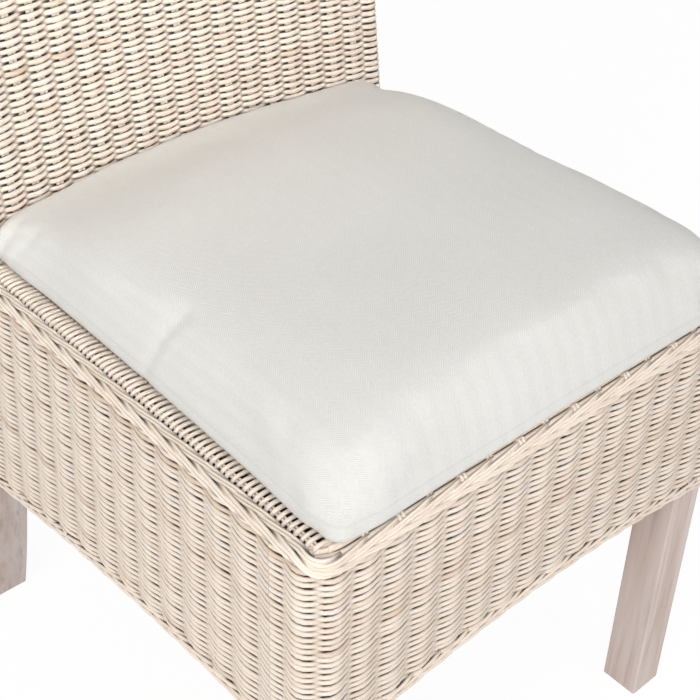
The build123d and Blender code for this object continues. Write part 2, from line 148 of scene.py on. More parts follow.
for name, place, target, size, spread, watts in (
    ("right soft box", (-2.5, -1.4, 2.0), (0, 0, 0.4), 2.2, 180, 62),
    ("front soft box", (0.5, -2.6, 2.2), (0, 0.2, 0.6), 2.0, 180, 17),
    ("gridded soft box", (-0.35, -1.8, 1.5), (-0.05, 0.22, 0.76), 0.5, 30, 0.7),
):
    lamp = bpy.data.lights.new(name, "AREA")
    lamp.shape = "SQUARE"
    lamp.size = size
    lamp.spread = radians(spread)
    lamp.energy = watts
    lamp_object = bpy.data.objects.new(name, lamp)
    lamp_object.location = place
    lamp_object.rotation_mode = "QUATERNION"
    lamp_object.rotation_quaternion = (Vector(target) - Vector(place)).to_track_quat("-Z", "Y")
    scene.collection.objects.link(lamp_object)

# Camera: above and to the right of the front right corner, looking down across the seat.
# The picture is a crop, so the axis of the lens meets it a little left of and above its middle.
camera = bpy.data.cameras.new("camera")
camera.sensor_width = 36
camera.lens = 68.21
camera.shift_x = 0.0857
camera.shift_y = -0.11
camera.clip_start = 0.05
camera_object = bpy.data.objects.new("camera", camera)
camera_yaw, camera_pitch = radians(39.814), radians(33.413)
camera_way = Vector((
    sin(camera_yaw) * cos(camera_pitch),
    cos(camera_yaw) * cos(camera_pitch),
    -sin(camera_pitch),
))
camera_object.location = (-0.6124, -0.7030, 1.0524)
camera_object.rotation_mode = "QUATERNION"
camera_object.rotation_quaternion = camera_way.to_track_quat("-Z", "Y")
scene.collection.objects.link(camera_object)
scene.camera = camera_object

# Legs, posts and rails: solid hardwood, planed square and washed with a thin white stain
# that settles in the grain and leaves the pinkish wood showing through. The rails are tenoned in.


def shade(*levels):
    """A colour given as three levels of 0 to 255, as the renderer counts it."""
    shares = [level / 255 for level in levels]
    return tuple(s / 12.92 if s < 0.04045 else ((s + 0.055) / 1.055) ** 2.4 for s in shares)


def finish(name):
    """A new material: its shader node, and a wire on its object coordinates."""
    material = bpy.data.materials.new(name)
    material.use_nodes = True
    tree = material.node_tree
    shader = tree.nodes["Principled BSDF"]
    place = tree.nodes.new("ShaderNodeTexCoord")
    return material, shader, Wire(tree, place.outputs["Object"])


def feed(shader, **wires):
    """Joins wires to a shader's inputs."""
    for key, wire in wires.items():
        wire.tree.links.new(shader.inputs[key.replace("_", " ")], wire.socket)


wash, wash_shader, wash_place = finish("whitewashed wood")
grain_place = wash_place.make("ShaderNodeMapping", Vector=wash_place, Scale=(150, 150, 7))[0]
pores = wash_place.make("ShaderNodeTexNoise", Vector=grain_place, Scale=1.0, Detail=6.0, Roughness=0.65)[0]
band_place = wash_place.make(
    "ShaderNodeMapping", Vector=wash_place, Location=(0.3, 0.1, 0), Scale=(34, 34, 2.2)
)[0]
bands = wash_place.make("ShaderNodeTexNoise", Vector=band_place, Scale=1.0, Detail=4.0, Roughness=0.55)[0]
tint = bands.make(
    "ShaderNodeValToRGB",
    {"stops": [(0.32, shade(203, 181, 169)), (0.5, shade(216, 200, 193)), (0.7, shade(228, 218, 214))]},
    Fac=bands,
)[0]
streak = pores.make("ShaderNodeMapRange", i0=pores, i1=0.5, i2=0.66, i3=0.0, i4=0.6)[0]
feed(wash_shader, Base_Color=streak.blend(tint, (*shade(186, 161, 149), 1)), Roughness=bands * 0.2 + 0.5)
wash_bump = pores.make("ShaderNodeBump", Height=pores, Strength=0.12, Distance=0.0006)[0]
feed(wash_shader, Normal=wash_bump)

for node in frame["record"]["behaviour"]["bodies"]["chair"]:
    if node.endswith(("_leg", "_post", "_rail")):
        timber = frame["nodes"][node]
        timber.material_slots[0].link = "OBJECT"
        timber.material_slots[0].material = wash

# Stakes and warps: pairs of round cane, the same washed cane as the weavers. They lie in the
# grooves of the skins and show only as small pale bits in the gaps of the weave.


def cane_finish(name, tone=None):
    """Washed cane. Stakes share one tone; strands of the weave carry theirs, and their painted shade."""
    material, shader, place = finish(name)
    mottle = place.make("ShaderNodeTexNoise", Vector=place, Scale=55.0, Detail=3.0, Roughness=0.6)[0]
    fibre = place.make("ShaderNodeTexNoise", Vector=place, Scale=900.0, Detail=2.0, Roughness=0.6)[0]
    own = place.make("ShaderNodeAttribute", {"attribute_name": "tone"})[2] if tone is None else tone
    dye = mottle * 0.4 - 0.2 + own
    colour = dye.make(
        "ShaderNodeValToRGB",
        {
            "stops": [
                (0.0, shade(210, 185, 162)),
                (0.3, shade(230, 211, 193)),
                (0.55, shade(241, 226, 211)),
                (0.8, shade(243, 231, 219)),
                (1.0, shade(222, 215, 210)),
            ]
        },
        Fac=dye,
    )[0]
    speck = fibre.make("ShaderNodeMapRange", i0=fibre, i1=0.55, i2=0.75, i3=0.0, i4=0.25)[0]
    colour = speck.blend(colour, (*shade(205, 184, 162), 1))
    if tone is None:
        # Painted shade: strands are blended to dark brown where they pass behind stakes and on their inner
        # faces.
        deep = place.make("ShaderNodeAttribute", {"attribute_name": "deep"})[2]
        colour = (deep * 0.95).blend(colour, (*shade(30, 18, 10), 1))
    bump = fibre.make("ShaderNodeBump", Height=fibre, Strength=0.1, Distance=0.0004)[0]
    feed(shader, Base_Color=colour, Roughness=mottle * 0.25 + 0.45, Normal=bump)
    shader.inputs["Specular IOR Level"].default_value = 0.2
    return material


stake_cane = cane_finish("washed stake cane", 0.7)
for node in frame["record"]["behaviour"]["bodies"]["chair"]:
    if node.endswith(("_stakes", "_warps")):
        stake = frame["nodes"][node]
        stake.material_slots[0].link = "OBJECT"
        stake.material_slots[0].material = stake_cane

# Aprons: round cane woven over one pair of stakes and under the next, row above row, as one
# run round the chair that is split at stakes into four pieces. Sizes here in millimetres.
half, front_y, side_end, deck_z = 235.0, -272.0, 210.0, 445.0
corner, rear_corner = 24.0, 12.0
skin, strand, strand_flat, row_pitch, stake_pitch = 9.0, 3.75, 0.82, 2.8, 28.6
weave_top, front_weave_top, hem_height = 449.0, 442.0, 9.0
apron_rows, apron_steps = 90, 6
first_stake, fan_top, fan_reach = 44.0, 448.0, 430.0
rake = tan(radians(8.3))
wide = half - skin / 2
cane = cane_finish("washed woven cane")


def bend(middle, radius, start, end):
    """Points of an arc seen from above."""
    turn = np.radians(np.linspace(start, end, 13))
    return np.column_stack((middle[0] + radius * np.cos(turn), middle[1] + radius * np.sin(turn)))


def skirt(z):
    """Middle line of the aprons at a height, from the middle of the rear round by the right."""
    rear = side_end - skin / 2 + rake * (deck_z - z)
    tight, full = rear_corner - skin / 2, corner - skin / 2
    return np.vstack((
        [(0, rear)],
        bend((tight - wide, rear - tight), tight, 90, 180),
        bend((full - wide, front_y + corner), full, 180, 270),
        bend((wide - full, front_y + corner), full, 270, 360),
        bend((wide - tight, rear - tight), tight, 0, 90),
    ))


def arch(points, place):
    """Height of the arc through three points, at a place."""
    (ax, ay), (bx, by), (cx, cy) = points
    turn = 2 * (ax * (by - cy) + bx * (cy - ay) + cx * (ay - by))
    a, b, c = ax**2 + ay**2, bx**2 + by**2, cx**2 + cy**2
    middle = (a * (by - cy) + b * (cy - ay) + c * (ay - by)) / turn
    level = (a * (cx - bx) + b * (ax - cx) + c * (bx - ax)) / turn
    radius2 = (ax - middle) ** 2 + (ay - level) ** 2
    return level + np.sqrt(np.maximum(radius2 - (place - middle) ** 2, 0))


def hem_line(x, y):
    """Lower edge of the aprons under a point of their middle line."""
    front = arch(((-237, 258), (0, 283), (237, 258)), x)
    side = arch(((-248, 258), (-57, 249), (246.3, 196)), y)
    rear = arch(((-226, 196), (0, 223), (226, 196)), x)
    return np.where(y < front_y + corner, front, np.where(np.abs(x) > half - skin, side, rear))


class Loop:
    """A closed line seen from above, read by the distance walked along it."""

    def __init__(self, points):
        points = np.vstack((points, points[:1]))
        legs = np.linalg.norm(np.diff(points, axis=0), axis=1)
        self.points = points[np.concatenate(([True], legs > 1e-6))]
        self.way = np.concatenate(([0.0], np.cumsum(legs[legs > 1e-6])))
        self.round = self.way[-1]
        self.fine = np.linspace(0, self.round, 1500)
        self.spots = self.spot(self.fine)

    def spot(self, way):
        """Points at distances along the line."""
        return np.column_stack([np.interp(way % self.round, self.way, column) for column in self.points.T])

    def at(self, way):
        """Points and outward normals at distances along the line."""
        along = self.spot(way + 1.5) - self.spot(way - 1.5)
        along /= np.linalg.norm(along, axis=1)[:, None]
        return self.spot(way), np.column_stack((along[:, 1], -along[:, 0]))

    def near(self, x, y):
        """Distance along the line to the place nearest a point."""
        return self.fine[np.argmin(np.hypot(self.spots[:, 0] - x, self.spots[:, 1] - y))]

    def between(self, stakes, first, last, parts):
        """Counts of stakes, and distances along the line, from one stake to another."""
        count = np.linspace(first, last, (last - first) * parts + 1)
        twice = np.concatenate((stakes, stakes + self.round))
        return count, np.interp(count, np.arange(len(twice)), twice)


front_places = [(k + 0.5) * stake_pitch for k in range(-7, 7)]
side_places = [front_y + first_stake + k * stake_pitch for k in range(16)]
rear_places = [(k + 0.5) * stake_pitch for k in range(7, -9, -1)]


def skirt_stakes(z, loop):
    """Distances round the aprons to each pair of stakes, with two more round each front corner."""
    fan = [y + rake * (y - side_places[0]) / fan_reach * (fan_top - z) for y in side_places]
    rear = side_end + rake * (deck_z - z)
    right = [loop.near(x, rear) for x in rear_places[8:]] + [loop.near(-half, y) for y in reversed(fan)]
    front = [loop.near(x, front_y) for x in front_places]
    left = [loop.near(half, y) for y in fan] + [loop.near(x, rear) for x in rear_places[:8]]
    turns = [list(np.linspace(a, b, 4)[1:-1]) for a, b in ((right[-1], front[0]), (front[-1], left[0]))]
    return np.array(right + turns[0] + front + turns[1] + left)


def hue(row, count):
    """Tone along a strand: most lengths are cream, a few are greyer or browner."""
    lengths = random.Random(row)
    knots = [lengths.uniform(-18, 0)]
    tones = []
    while knots[-1] < 140:
        knots.append(knots[-1] + lengths.uniform(9, 26))
        roll = lengths.random()
        low, high = (0.78, 0.88) if roll < 0.04 else (0.2, 0.35) if roll < 0.11 else (0.42, 0.7)
        tones.append(lengths.uniform(low, high))
    return np.array(tones)[np.searchsorted(knots, count, side="right") - 1]


def stretches(keep):
    """First and last place of every unbroken stretch that is kept."""
    edges = np.flatnonzero(np.diff(np.concatenate(([0], keep.astype(int), [0]))))
    return [(a, b) for a, b in zip(edges[::2], edges[1::2]) if b - a > 2]


def cane_piece(name, runs, slot, *replaced, flat=1.0):
    """One mesh of cane: runs of points, each with its thickness, tone and painted shade."""
    sides = 6
    ring = bpy.data.curves.new("cane section", "CURVE")
    ring.dimensions = "2D"
    outline = ring.splines.new("POLY")
    outline.points.add(sides - 1)
    outline.use_cyclic_u = True
    for index, point in enumerate(outline.points):
        turn = 2 * pi * index / sides
        point.co = (0.0005 * flat * cos(turn), 0.0005 * sin(turn) / cos(pi / sides), 0, 1)
    section = bpy.data.objects.new("cane section", ring)
    line = bpy.data.curves.new(name, "CURVE")
    line.dimensions = "3D"
    line.bevel_mode = "OBJECT"
    line.bevel_object = section
    line.twist_mode = "MINIMUM" if flat == 1 else "Z_UP"
    for points, thick, _, _ in runs:
        spline = line.splines.new("POLY")
        spline.points.add(len(points) - 1)
        spline.points.foreach_set("co", np.column_stack((points * 0.001, np.ones(len(points)))).ravel())
        spline.points.foreach_set("radius", np.full(len(points), 1.0) * thick)
    bundle = bpy.data.objects.new(name, line)
    scene.collection.objects.link(bundle)
    shape = bpy.data.meshes.new_from_object(bundle.evaluated_get(bpy.context.evaluated_depsgraph_get()))
    bpy.data.objects.remove(bundle)
    bpy.data.objects.remove(section)
    # Tone and painted shade go onto the mesh as point attributes.
    for label, column in (("tone", 2), ("deep", 3)):
        values = [(np.zeros((sides, len(run[0]))) + run[column]).T.ravel() for run in runs]
        shape.attributes.new(label, "FLOAT", "POINT").data.foreach_set("value", np.concatenate(values))
    shape.materials.clear()
    shape.materials.append(cane)
    piece = bpy.data.objects.new(name, shape)
    scene.collection.objects.link(piece)
    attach(piece, "chair")
    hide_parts(*replaced)


def woven_row(row, z, loop, stakes, first, last, parts, thick):
    """One strand of a skin between two stakes: points, thickness, tone and painted shade.

    It lies full over a stake and behind the next, and is squeezed thin where it dives between them.
    """
    over, under = 2.5, 3.0
    dive = (-1, 0, 0.5, 0.87, 1)
    fullness = (1.35, 1.0, 0.86, 1.08, 1.24)
    pick = random.Random(1000 + row)
    wander = [pick.uniform(-0.6, 0.6) for _ in stakes]
    count, way = loop.between(stakes, first, last, parts)
    place, out = loop.at(way)
    lift = np.cos(pi * (count + row))
    offset = np.where(lift > 0, over, under) * lift
    level = z + np.interp(count % len(stakes), np.arange(len(stakes) + 1), wander + wander[:1])
    line = np.column_stack((place + out * offset[:, None], level))
    # Painted shade: over a stake, the inner half of the section is painted dark. Its points count from the
    # outer one.
    behind = np.outer((0, 0.12, 1, 1, 1, 0), np.clip(2.2 * lift - 0.8, 0, 1))
    # Painted shade also where the strand passes behind a stake.
    deep = np.maximum(np.clip(0.2 - 2 * lift, 0, 1), behind)
    girth = thick * pick.uniform(0.93, 1.07) * np.interp(lift, dive, fullness)
    return line, girth, hue(row, count), deep


apron_loops = []
for row in range(apron_rows):
    z = weave_top - (row + 0.5) * row_pitch
    loop = Loop(skirt(z))
    apron_loops.append((row, z, loop, skirt_stakes(z, loop)))

for name, first, last in (("right", 7, 23), ("front", 23, 42), ("left", 42, 58), ("rear", 58, 73)):
    runs = []
    for row, z, loop, stakes in apron_loops:
        line, girth, tones, deep = woven_row(row, z, loop, stakes, first, last, apron_steps, strand)
        top = np.interp(line[:, 1], (front_y + 6, front_y + corner), (front_weave_top, weave_top + 3))
        keep = (line[:, 2] > hem_line(line[:, 0], line[:, 1]) + hem_height) & (line[:, 2] < top)
        runs += [(line[a:b], girth[a:b], tones[a:b], deep[:, a:b]) for a, b in stretches(keep)]
    cane_piece(f"{name}_apron_weave", runs, "woven_cane", f"{name}_apron", flat=strand_flat)

# Back: the same weave round the posts and the two skins of the back, front and rear, which
# lean back and are hollowed at the front. Split at stakes into the skins and their edges.
back_face, back_top, back_corner, lean = 158.0, 925.0, 6.0, tan(radians(7.5))
back_pitch, back_row = 23.7, 3.1
back_strand, back_steps = 4.1, 5
hollow = ((-226, 0), (0, 20), (226, 0))


def shell(z):
    """Middle line of the back at a height, from the middle of the rear round by the right."""
    shift = lean * (z - deck_z)
    rear = side_end - skin / 2 + shift
    across = np.linspace(back_corner - wide, wide - back_corner, 41)
    face = back_face + skin / 2 + shift + arch(hollow, across)
    return np.vstack((
        [(0, rear)],
        bend((back_corner - wide, rear - back_corner), back_corner, 90, 180),
        bend((back_corner - wide, face[0] + back_corner), back_corner, 180, 270),
        np.column_stack((across, face)),
        bend((wide - back_corner, face[0] + back_corner), back_corner, 270, 360),
        bend((wide - back_corner, rear - back_corner), back_corner, 0, 90),
    ))


def shell_stakes(z, loop):
    """Distances round the back to each pair of stakes, with three more round each edge."""
    shift = lean * (z - deck_z)
    rear = side_end + shift
    across = [(k + 0.5) * back_pitch for k in range(-9, 9)]
    right = [loop.near(x, rear) for x in rear_places[8:]]
    left = [loop.near(x, rear) for x in rear_places[:8]]
    front = [loop.near(x, back_face + skin / 2 + shift + float(arch(hollow, x))) for x in across]
    edges = [list(np.linspace(a, b, 5)[1:-1]) for a, b in ((right[-1], front[0]), (front[-1], left[0]))]
    return np.array(right + edges[0] + front + edges[1] + left)


back_loops = []
for row in range(int((back_top - weave_top) / back_row)):
    z = weave_top + (row + 0.5) * back_row
    loop = Loop(shell(z))
    back_loops.append((-1 - row, z, loop, shell_stakes(z, loop)))

for name, first, last, node in (
    ("back_front", 11, 28, "back_front_panel"),
    ("right_back_edge", 7, 11, "right_back_edge"),
    ("left_back_edge", 28, 32, "left_back_edge"),
    ("back_rear", 32, 47, "back_rear_panel"),
):
    runs = [woven_row(*back_loop, first, last, back_steps, back_strand) for back_loop in back_loops]
    cane_piece(f"{name}_weave", runs, "woven_cane", node, flat=strand_flat)

# Seat deck: weavers from side to side over pairs of warps; every second one loops over the
# side rail as a bar of the rim and the others turn back under it.
seat_pitch, bar_from, deck_reach = 2.95, -261.7, 214.0
deck_strand, deck_swing = 3.6, 2.5
deck_rows = []
for row in range(4, 150):
    y = bar_from + row * seat_pitch
    count = np.linspace(-1, 14, 76)
    x = (count - 6.5) * stake_pitch
    lift = np.cos(pi * (count + row))
    # Painted shade on the weaver where it passes under a warp.
    deep = np.clip(-0.2 - 1.6 * lift, 0, 1)
    line = np.column_stack((x, np.full(len(x), y), deck_z + skin / 2 + deck_swing * lift))
    for a, b in stretches((y < back_face + arch(hollow, x) - 1.5) & (np.abs(x) < deck_reach)):
        deck_rows.append((line[a:b], deck_strand, hue(500 + row, count[a:b]), deep[a:b]))
cane_piece("seat_deck_weave", deck_rows, "woven_cane", "seat_deck")

# Rim of the sides: the seat weavers looped over the rail as close round bars, with a pair of
# thinner canes along the rim that shows between them. Every second bar lies low, with painted shade on it.
bar_section = np.array([
    (31, 453.2),
    (28, 454.2),
    (25, 454.7),
    (22, 455),
    (19, 454.9),
    (16.4, 454.3),
    (14, 452.4),
    (12.6, 449.6),
    (11.8, 446.4),
])
bar_count, bar_edge, bar_drop = 142, 12.0, 6.2
bar_turn = corner - bar_edge
lead_cane, lead_level = 2.2, 452.4
for name, side in (("right", -1), ("left", 1)):
    bars = []
    pick = random.Random(side + 40)
    for row in range(bar_count):
        y = bar_from + row * seat_pitch + pick.uniform(-0.35, 0.35)
        shift = max(0, front_y + corner - y)
        cut = bar_turn - max(bar_turn**2 - shift**2, 1) ** 0.5
        under = row % 2
        inward = np.maximum(bar_section[:, 0] - 1.5 * under, bar_edge + cut)
        slant = np.linspace(-0.5, 0.5, len(bar_section)) * pick.uniform(-1.2, 1.2)
        line = np.column_stack((side * (half - inward), y + slant, bar_section[:, 1] - bar_drop * under))
        # The low bars carry full painted shade.
        bars.append((line, pick.uniform(3.0, 3.4), pick.uniform(0.7, 0.8), under))
    for inward in (17.2, 19.8):
        x = side * (half - inward)
        line = np.array([(x, y, lead_level) for y in np.linspace(bar_from + 6, back_face, 40)])
        bars.append((line, lead_cane, 0.6, 0.0))
    cane_piece(f"{name}_rim_bars", bars, "border_cane", f"{name}_rim_wrap")

# Rim of the front: three canes along the edge, held down by pairs of thin warps that pass
# over the outer cane at one stake and over the middle one at the next.
rim_cane, tie_cane, tie_step = 4.0, 2.7, 1.7
rim_lines = []
rim_x = np.linspace(-222, 222, 75)
for inward, level, tones in ((4.2, 451.6, 0.62), (9.0, 452.8, 0.48), (13.6, 452.0, 0.55)):
    dip = np.clip((np.abs(rim_x) - 204) / 18, 0, 1) ** 2
    line = np.column_stack((rim_x, front_y + inward + 9 * dip, level - 2.5 * dip))
    rim_lines.append((line, rim_cane, tones, 0.0))
for index, x in enumerate(front_places):
    over_outer = index % 2
    section = np.array([
        (30, 451.5),
        (20, 452.8),
        (13.6, 454.6),
        (9.0, 449.8 if over_outer else 455.6),
        (6.6, 452.4),
        (4.2, 454.4 if over_outer else 448.8),
        (1.6, 451.6 if over_outer else 447.5),
        (1.6, 446.0),
    ])
    for step in (-tie_step, tie_step):
        line = np.column_stack((np.full(len(section), x + step), front_y + section[:, 0], section[:, 1]))
        rim_lines.append((line, tie_cane, 0.6 + 0.02 * step, 0.0))
cane_piece("front_rim_lines", rim_lines, "border_cane", "front_rim_wrap")

# Plait: two rows of three rods, every rod a pair of thin canes, worked round the stakes over the
# top of the skins. The upper row slants up and the lower one down, from the back round the corners.
plait_cane, plait_step, plait_rise = 2.7, 1.15, 2.3
rod_reach, rod_flat = 2.6, 0.95


def rod(number, count, reach, rise):
    """Way out of the row and way up in it, for one of three rods, at counts of stakes."""
    turn = ((count - number) / 3) % 1
    out = reach * np.clip(np.cos(2 * pi * (turn - 1 / 3)) + 0.35, -1, 1)
    up = np.where(turn < 2 / 3, -np.cos(pi * turn * 1.5), np.cos(pi * (turn - 2 / 3) * 3)) * rise
    return out, up


def rod_painted_shade(reach, dark):
    """How much painted shade a rod gets round its section: where it passes inside, and on its inner face.
    """
    inner_face = np.outer((0, 0, dark, 1, dark, 0), np.ones(len(reach)))
    return np.maximum(np.clip(dark - 0.42 * reach, 0, 1), inner_face)


plait_loop = Loop(skirt(deck_z))
plait_stakes = skirt_stakes(weave_top, plait_loop)
plait_from, plait_to = plait_loop.near(-half, back_face), plait_loop.near(half, back_face)
plaits = {"right": [], "front": [], "left": []}
for (side_in, side_level, side_tilt), (front_in, front_level, front_tilt), sense in (
    ((8.8, 452.2, 76), (2.2, 449.6, 28), 1),
    ((3.6, 451.2, 42), (1.8, 444.2, 4), -1),
):
    for name, first, last in (("right", 8, 23), ("front", 23, 42), ("left", 42, 57)):
        count, way = plait_loop.between(plait_stakes, first, last, 8)
        keep = (way > plait_from) & (way < plait_to)
        count, way = count[keep], way[keep]
        place, out = plait_loop.at(way)
        turned = np.clip((front_y + corner - place[:, 1]) / (corner - skin / 2), 0, 1)
        turned = turned * turned * (3 - 2 * turned)
        inward = side_in + (front_in - side_in) * turned
        level = side_level + (front_level - side_level) * turned
        tilt = np.radians(side_tilt + (front_tilt - side_tilt) * turned)
        for number in range(3):
            reach, middle = rod(number, count, rod_reach, plait_rise)
            for step in (-plait_step, plait_step):
                up = middle + step
                flat = skin / 2 - inward + reach * np.cos(tilt) - sense * up * np.sin(tilt)
                high = level + reach * np.sin(tilt) + sense * up * np.cos(tilt)
                line = np.column_stack((place + out * flat[:, None], high))
                tone = 0.5 + 0.1 * number + 0.04 * step
                # Painted shade on the rods where they pass inside and on their inner faces.
                plaits[name].append((line, plait_cane, tone, rod_painted_shade(reach, 0.4)))
for name, runs in plaits.items():
    cane_piece(f"{name}_plait_rods", runs, "border_cane", f"{name}_plait", flat=rod_flat)

# Hems: a row of three rods that closes the weave and a tighter rope below it, along the
# arched lower edges of the aprons.
hem_points = Loop(skirt(210)).spots
hem_level = hem_line(hem_points[:, 0], hem_points[:, 1])
at_rear = (hem_points[:, 1] > 0) & (np.abs(hem_points[:, 0]) < half - skin)
hem_points[at_rear, 1] = side_end - skin / 2 + rake * (deck_z - hem_level[at_rear])
hem_loop = Loop(hem_points[:-1])
hem_stakes = skirt_stakes(240, hem_loop)
for name, first, last in (("right", 7, 23), ("front", 23, 42), ("left", 42, 58), ("rear", 58, 73)):
    runs = []
    count, way = hem_loop.between(hem_stakes, first, last, 8)
    place, out = hem_loop.at(way)
    base = hem_line(place[:, 0], place[:, 1])
    for rise, swing, shift, sense, thick in ((8.0, 3.2, 0.0, 1, 3.4), (2.7, 1.5, 0.5, -1, 3.3)):
        for number in range(3):
            reach, up = rod(number, count + shift, rod_reach, swing)
            line = np.column_stack((place + out * (reach + 0.3)[:, None], base + rise + sense * up))
            # Painted shade on the hem rods, darker than on the plait, where they pass inside and on their
            # inner faces.
            runs.append((line, thick, 0.45 + 0.1 * number, rod_painted_shade(reach, 0.8)))
    cane_piece(f"{name}_hem_rods", runs, "border_cane", f"{name}_hem", flat=rod_flat)

# Crest: close bars of cane lapped over the top of the back from skin to skin, with a row of
# three rods round their ends.
crest_count, crest_cane, crest_pitch = 93, 4.6, 4.98
crest_rod, crest_reach, crest_z = 3.7, 2.1, 924.5
crest_runs = []
crest_shift = lean * (back_top - deck_z)
pick = random.Random(7)
for index in range(crest_count):
    x = (index - crest_count // 2) * crest_pitch
    ahead = back_face + crest_shift + float(arch(hollow, x)) + 2
    behind = side_end + crest_shift - 2
    round_edge = np.array([0, 0.3, 2.6, 7])
    y = np.concatenate((ahead + round_edge, behind - round_edge[::-1]))
    level = np.array([921, 928, 932.4, 934.6, 934.6, 932.4, 928, 921.0])
    line = np.column_stack((np.full(8, x + pick.uniform(-0.3, 0.3)), y, level + pick.uniform(-0.3, 0.3)))
    crest_runs.append((line, crest_cane, hue(1300 + index, np.array([20.0]))[0], 0.0))
for side in (-1, 1):
    for index in range(9):
        y = back_face + crest_shift + 6 + crest_pitch * index
        reach = half + np.array([-14, -7, -2.6, -0.3, 0.2])
        level = np.array([934.4, 934.2, 932, 928, 921.0])
        line = np.column_stack((side * reach, np.full(5, y), level))
        crest_runs.append((line, crest_cane, 0.5, 0.0))
crest_loop = Loop(shell(crest_z))
count, way = crest_loop.between(shell_stakes(crest_z, crest_loop), 0, 40, 8)
place, out = crest_loop.at(way)
for number in range(3):
    reach, up = rod(number, count[:-1], crest_reach, 2.2)
    line = np.column_stack((place[:-1] + out[:-1] * (reach + 2.2)[:, None], crest_z + up))
    # Painted shade on the rods where they turn inward.
    crest_runs.append((line, crest_rod, 0.5 + 0.1 * number, np.clip(0.1 - reach / crest_reach, 0, 1)))
cane_piece("crest_bars", crest_runs, "border_cane", "crest_border")

# Cushion: a cotton herringbone cover over a soft filling. A slightly smaller copy of its solid is
# softened, then swollen by a cloth simulation that holds its foot. A seam runs round it low down.
# Sizes here in metres.
cotton, cotton_shader, cotton_place = finish("herringbone cotton")
cloth_place = cotton_place.make("ShaderNodeUVMap", {"uv_map": "cloth"})[0]
across, down = cloth_place.make("ShaderNodeSeparateXYZ", Vector=cloth_place)[:2]
column, rib_pitch, seam_z = 0.0085, 0.0021, 0.4700
slope = across.maths("PINGPONG", across, column)
rib = across.maths("SINE", (down + slope) * (2 * pi / rib_pitch))
turned = across.maths("GREATER_THAN", across.maths("FRACT", across / (2 * column)), 0.5)
slub = cotton_place.make(
    "ShaderNodeTexNoise", Vector=cotton_place, Scale=420.0, Detail=3.0, Roughness=0.7
)[0]
soil = cotton_place.make(
    "ShaderNodeTexNoise", Vector=cotton_place, Scale=9.0, Detail=2.0, Roughness=0.5
)[0]
height = cotton_place.make("ShaderNodeSeparateXYZ", Vector=cotton_place)[2]
off_seam = across.maths("ABSOLUTE", height - seam_z)
stitch = off_seam.make("ShaderNodeMapRange", i0=off_seam, i1=0.0004, i2=0.0012, i3=0.12, i4=0.0)[0]
yarn = rib * 0.2 + turned * 0.03 + slub * 0.5 + soil * 0.3 + 0.03
cotton_colour = yarn.make(
    "ShaderNodeValToRGB",
    {"stops": [(0.1, shade(207, 205, 200)), (0.5, shade(222, 221, 217)), (0.9, shade(233, 233, 231))]},
    Fac=yarn,
)[0]
feed(cotton_shader, Base_Color=stitch.blend(cotton_colour, (*shade(168, 163, 156), 1)))
cotton_shader.inputs["Roughness"].default_value = 0.92
cotton_shader.inputs["Sheen Weight"].default_value = 0.15
cotton_bump = rib.make("ShaderNodeBump", Height=rib + slub * 1.5, Strength=0.3, Distance=0.0003)[0]
feed(cotton_shader, Normal=cotton_bump)

inset = 0.001
cushion_solid = frame["nodes"]["seat_cushion"]
cushion_shape = cushion_solid.data.copy()
cushion_shape.transform(cushion_solid.matrix_world)
body = bmesh.new()
body.from_mesh(cushion_shape)
bmesh.ops.remove_doubles(body, verts=body.verts, dist=0.00001)
bmesh.ops.recalc_face_normals(body, faces=body.faces)
body.normal_update()
for point in body.verts:
    point.co -= point.normal * inset
body.to_mesh(cushion_shape)
body.free()
cushion = bpy.data.objects.new("seat_cushion_cover", cushion_shape)
scene.collection.objects.link(cushion)


def settle():
    """Applies the cushion's modifiers to its mesh and returns the points of the mesh."""
    done = bpy.data.meshes.new_from_object(cushion.evaluated_get(bpy.context.evaluated_depsgraph_get()))
    cushion.modifiers.clear()
    cushion.data = done
    places = np.empty(3 * len(done.vertices))
    done.vertices.foreach_get("co", places)
    return places.reshape(-1, 3)


foot, soft_above, soft_before, crown_lift = 0.4554, 0.468, 0.165, 0.0085
remesh = cushion.modifiers.new("remesh", "REMESH")
remesh.mode = "VOXEL"
remesh.voxel_size = 0.005
remesh.use_smooth_shade = True
start = settle()
upper = cushion.vertex_groups.new(name="upper")
for point, place in enumerate(start):
    free = min(max((soft_before - place[1]) / 0.05, 0), 1)
    upper.add([point], free * min(max((place[2] - soft_above) / 0.02, 0), 1), "REPLACE")
soften = cushion.modifiers.new("soften", "SMOOTH")
soften.factor = 0.5
soften.iterations = 220
soften.vertex_group = "upper"
start = settle()
start[:, 2] += crown_lift * np.clip((start[:, 2] - soft_above) / 0.035, 0, 1)

# The cover is cut squarer at the corners than the solid, and it is thinner at the rear, the right
# and the corners. The rear right corner is drawn out like an ear, and the foot spreads.
wide_half, front_edge, rear_edge, turn_radius = 0.212, -0.269, 0.163, 0.028
past_side = np.abs(start[:, 0]) - (wide_half - turn_radius)
past_end = np.maximum(front_edge + turn_radius - start[:, 1], start[:, 1] - rear_edge + turn_radius)
in_corner = (past_side > 0) & (past_end > 0)
blunt = (np.abs(past_side) ** 6 + np.abs(past_end) ** 6) ** (1 / 6)
square = np.where(in_corner, np.hypot(past_side, past_end) / blunt - 1, 0)
start[:, 0] += np.sign(start[:, 0]) * past_side * square
start[:, 1] += np.where(start[:, 1] < 0, -1, 1) * past_end * square
rear_slope = 0.3 * np.exp(-((np.maximum(rear_edge - start[:, 1], 0) / 0.07) ** 2))
right_slope = 0.1 * np.exp(-((np.maximum(start[:, 0] + wide_half, 0) / 0.06) ** 2))
start[:, 2] = foot + (start[:, 2] - foot) * (1 - rear_slope) * (1 - right_slope)
